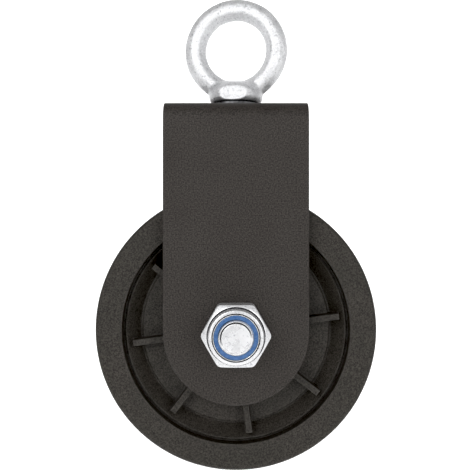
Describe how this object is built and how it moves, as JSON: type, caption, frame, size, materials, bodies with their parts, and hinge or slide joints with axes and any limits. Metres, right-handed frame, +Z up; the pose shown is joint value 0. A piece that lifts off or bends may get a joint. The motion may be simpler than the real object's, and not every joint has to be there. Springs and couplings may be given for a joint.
{
  "type": "single sheave block",
  "caption": "Single sheave pulley block: grooved nylon wheel on a ball bearing in a bent steel strap bracket, hung from a swivelling eye bolt.",
  "frame": {"origin": "centre of the eye of the eye bolt", "axes": "+Z up along the swivel axis, through the eye; the axle runs along Y with its lock nut on the -Y side; +X to the right when the nut faces the viewer"},
  "size_m": [0.09, 0.0565, 0.1544],
  "materials": {
    "zinc_plated_steel": "bright zinc plating",
    "black_powder_coat": "matt black fine-texture powder coat",
    "black_nylon": "moulded black nylon, matt",
    "blue_nylon": "moulded blue nylon lock insert",
    "bearing_steel": "ground bearing steel",
    "spring_steel": "phosphated spring steel",
    "natural_nylon": "natural nylon"
  },
  "bodies": {
    "eye": {"eye_bolt": "zinc_plated_steel", "eye_washer_upper": "zinc_plated_steel", "eye_washer_lower": "zinc_plated_steel", "eye_lock_nut": "zinc_plated_steel", "eye_nut_insert": "blue_nylon"},
    "frame": {"bracket": "black_powder_coat", "axle_bolt": "zinc_plated_steel", "axle_lock_nut": "zinc_plated_steel", "axle_nut_insert": "blue_nylon", "spacer_front": "zinc_plated_steel", "spacer_rear": "zinc_plated_steel", "bearing_inner_ring": "bearing_steel"},
    "wheel": {"sheave": "black_nylon", "bearing_outer_ring": "bearing_steel", "bearing_shield_front": "bearing_steel", "bearing_shield_rear": "bearing_steel", "bearing_retaining_ring": "spring_steel"},
    "cage": {"bearing_cage": "natural_nylon"},
    "ball_1": {"bearing_ball_1": "bearing_steel"},
    "ball_2": {"bearing_ball_2": "bearing_steel"},
    "ball_3": {"bearing_ball_3": "bearing_steel"},
    "ball_4": {"bearing_ball_4": "bearing_steel"},
    "ball_5": {"bearing_ball_5": "bearing_steel"},
    "ball_6": {"bearing_ball_6": "bearing_steel"},
    "ball_7": {"bearing_ball_7": "bearing_steel"}
  },
  "joints": [
    {"name": "eye_swivel", "type": "hinge", "parent": "eye", "child": "frame", "pos_m": [0, 0, -0.0197], "axis": [0, 0, 1], "continuous": true},
    {"name": "sheave_spin", "type": "hinge", "parent": "frame", "child": "wheel", "pos_m": [0, 0, -0.0919], "axis": [0, 1, 0], "continuous": true},
    {"name": "cage_spin", "type": "hinge", "parent": "frame", "child": "cage", "pos_m": [0, 0, -0.0919], "axis": [0, 1, 0], "continuous": true},
    {"name": "ball_1_spin", "type": "hinge", "parent": "cage", "child": "ball_1", "pos_m": [0, 0, -0.0809], "axis": [0, 1, 0], "continuous": true},
    {"name": "ball_2_spin", "type": "hinge", "parent": "cage", "child": "ball_2", "pos_m": [-0.0086, 0, -0.08504], "axis": [0, 1, 0], "continuous": true},
    {"name": "ball_3_spin", "type": "hinge", "parent": "cage", "child": "ball_3", "pos_m": [-0.01072, 0, -0.09435], "axis": [0, 1, 0], "continuous": true},
    {"name": "ball_4_spin", "type": "hinge", "parent": "cage", "child": "ball_4", "pos_m": [-0.00477, 0, -0.10181], "axis": [0, 1, 0], "continuous": true},
    {"name": "ball_5_spin", "type": "hinge", "parent": "cage", "child": "ball_5", "pos_m": [0.00477, 0, -0.10181], "axis": [0, 1, 0], "continuous": true},
    {"name": "ball_6_spin", "type": "hinge", "parent": "cage", "child": "ball_6", "pos_m": [0.01072, 0, -0.09435], "axis": [0, 1, 0], "continuous": true},
    {"name": "ball_7_spin", "type": "hinge", "parent": "cage", "child": "ball_7", "pos_m": [0.0086, 0, -0.08504], "axis": [0, 1, 0], "continuous": true}
  ],
  "couplings": [
    {"joint": "cage_spin", "follows": "sheave_spin", "ratio": 0.6353},
    {"joint": "ball_1_spin", "follows": "sheave_spin", "ratio": 1.7125},
    {"joint": "ball_2_spin", "follows": "sheave_spin", "ratio": 1.7125},
    {"joint": "ball_3_spin", "follows": "sheave_spin", "ratio": 1.7125},
    {"joint": "ball_4_spin", "follows": "sheave_spin", "ratio": 1.7125},
    {"joint": "ball_5_spin", "follows": "sheave_spin", "ratio": 1.7125},
    {"joint": "ball_6_spin", "follows": "sheave_spin", "ratio": 1.7125},
    {"joint": "ball_7_spin", "follows": "sheave_spin", "ratio": 1.7125}
  ]
}
